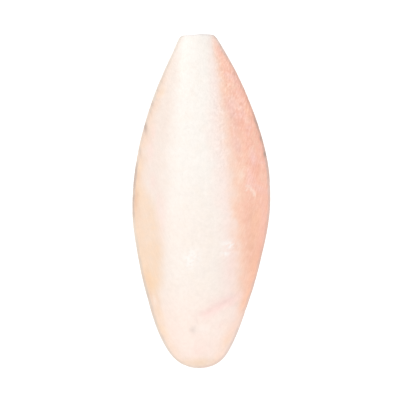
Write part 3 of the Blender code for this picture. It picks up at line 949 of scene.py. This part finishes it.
def belly_material():
    paint = Painter("chalk", roughness=0.8, specular=0.2)
    cloudy = paint.contrast(paint.noise(9, 3), 0.35, 0.7)
    colour = paint.layer(BELLY, FLANGE, paint.times(paint.mask("flange"), paint.between(cloudy, 0.5, 1.0)))
    striae = paint.noise(1, 2, paint.flow(0.55, 14))
    growth = paint.noise(1, 3, paint.flow(2.2, 26))
    # Darker growth lines over the belly
    colour = paint.layer(colour, BELLY_LINES_AND_RECESS_SHADE, paint.times(paint.contrast(growth, 0.52, 0.72), 0.25))
    # Painted shade in the recesses between the ledges and striae
    recess = paint.times(paint.mask("recess"), paint.between(striae, 0.4, 1.2))
    colour = paint.layer(colour, BELLY_LINES_AND_RECESS_SHADE, recess)
    colour = paint.layer(colour, CHALK, paint.times(paint.contrast(paint.noise(1.8, 4), 0.55, 0.7), 0.5))
    colour = paint.layer(colour, HORN, paint.times(paint.mask("rim"), 0.9))
    paint.bump(((striae, 0.12), (paint.noise(0.5, 3), 0.12), (paint.noise(0.18, 1), 0.05)))
    return paint.finish(colour)


def cut_material():
    paint = Painter("sawn_chalk", roughness=0.85, specular=0.2)
    mapping = paint.tree.nodes.new("ShaderNodeMapping")
    mapping.inputs["Scale"].default_value = (1 / 4.0, 1.0, 1 / 0.3)
    paint.set(mapping.inputs["Vector"], paint.place)
    lamellae = paint.tree.nodes.new("ShaderNodeTexNoise")
    lamellae.inputs["Scale"].default_value = 1 / MM
    lamellae.inputs["Detail"].default_value = 2.0
    paint.set(lamellae.inputs["Vector"], mapping.outputs["Vector"])
    lines = paint.contrast(lamellae.outputs["Fac"], 0.4, 0.62)
    colour = paint.layer(SAWN_CHALK, SAWN_LINES, paint.times(lines, 0.6))
    skin = paint.contrast(paint.mask("layer"), 0.16, 0.08)
    colour = paint.layer(colour, CREAM, skin)
    colour = paint.layer(colour, TAN, paint.times(paint.contrast(paint.noise(3, 3), 0.5, 0.7), 0.25))
    paint.bump(((lines, 0.12), (paint.noise(0.35, 3), 0.1)))
    return paint.finish(colour)


def make_bone():
    mesh = bone_mesh()
    for material in (shield_material(), belly_material(), cut_material()):
        mesh.materials.append(material)
    mesh.shade_smooth()
    mesh.set_sharp_from_angle(angle=math.radians(50))
    bone = bpy.data.objects.new("bone", mesh)
    bpy.context.scene.collection.objects.link(bone)
    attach(bone, "root")
    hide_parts("cuttlebone")


# Stage, light and camera

FLOOR_HALF = 3.0
FLOOR_DROP = 0.02 * MM
FLOOR_GLOW = 0.86
FLOOR_GREY = 0.3
SKY = 0.99
KEY_DISTANCE = 0.8
KEY_DIRECTION = (-0.70, 0.25, 0.67)
KEY_SIZE = 0.35
KEY_POWER = 1.4
LENS = 100
SENSOR = 36
CAMERA_PLACE = (-0.65 * MM, 0.74 * MM, 506 * MM)


def make_floor():
    mesh = bpy.data.meshes.new("floor")
    corners = [(x * FLOOR_HALF, y * FLOOR_HALF, -FLOOR_DROP) for x, y in ((-1, -1), (1, -1), (1, 1), (-1, 1))]
    mesh.from_pydata(corners, [], [(0, 1, 2, 3)])
    paint = Painter("floor", roughness=0.9, specular=0.0)
    paint.shader.inputs["Emission Color"].default_value = (1, 1, 1, 1)
    paint.shader.inputs["Emission Strength"].default_value = FLOOR_GLOW
    mesh.materials.append(paint.finish((FLOOR_GREY, FLOOR_GREY, FLOOR_GREY)))
    floor = bpy.data.objects.new("floor", mesh)
    bpy.context.scene.collection.objects.link(floor)


def make_sky():
    world = bpy.data.worlds.new("studio")
    world.use_nodes = True
    background = world.node_tree.nodes["Background"]
    background.inputs["Color"].default_value = (1, 1, 1, 1)
    background.inputs["Strength"].default_value = SKY
    bpy.context.scene.world = world
    bpy.context.scene.view_settings.view_transform = "Standard"


def make_key_light():
    light = bpy.data.lights.new("key", "AREA")
    light.size = KEY_SIZE
    light.energy = KEY_POWER
    key = bpy.data.objects.new("key", light)
    direction = Vector(KEY_DIRECTION).normalized()
    key.location = direction * KEY_DISTANCE
    key.rotation_euler = direction.to_track_quat("Z", "Y").to_euler()
    bpy.context.scene.collection.objects.link(key)


def make_camera():
    """Looks straight down, with the sawn end up."""
    data = bpy.data.cameras.new("camera")
    data.lens = LENS
    data.sensor_width = SENSOR
    camera = bpy.data.objects.new("camera", data)
    camera.location = CAMERA_PLACE
    bpy.context.scene.collection.objects.link(camera)
    bpy.context.scene.camera = camera


make_bone()
make_floor()
make_sky()
make_key_light()
make_camera()
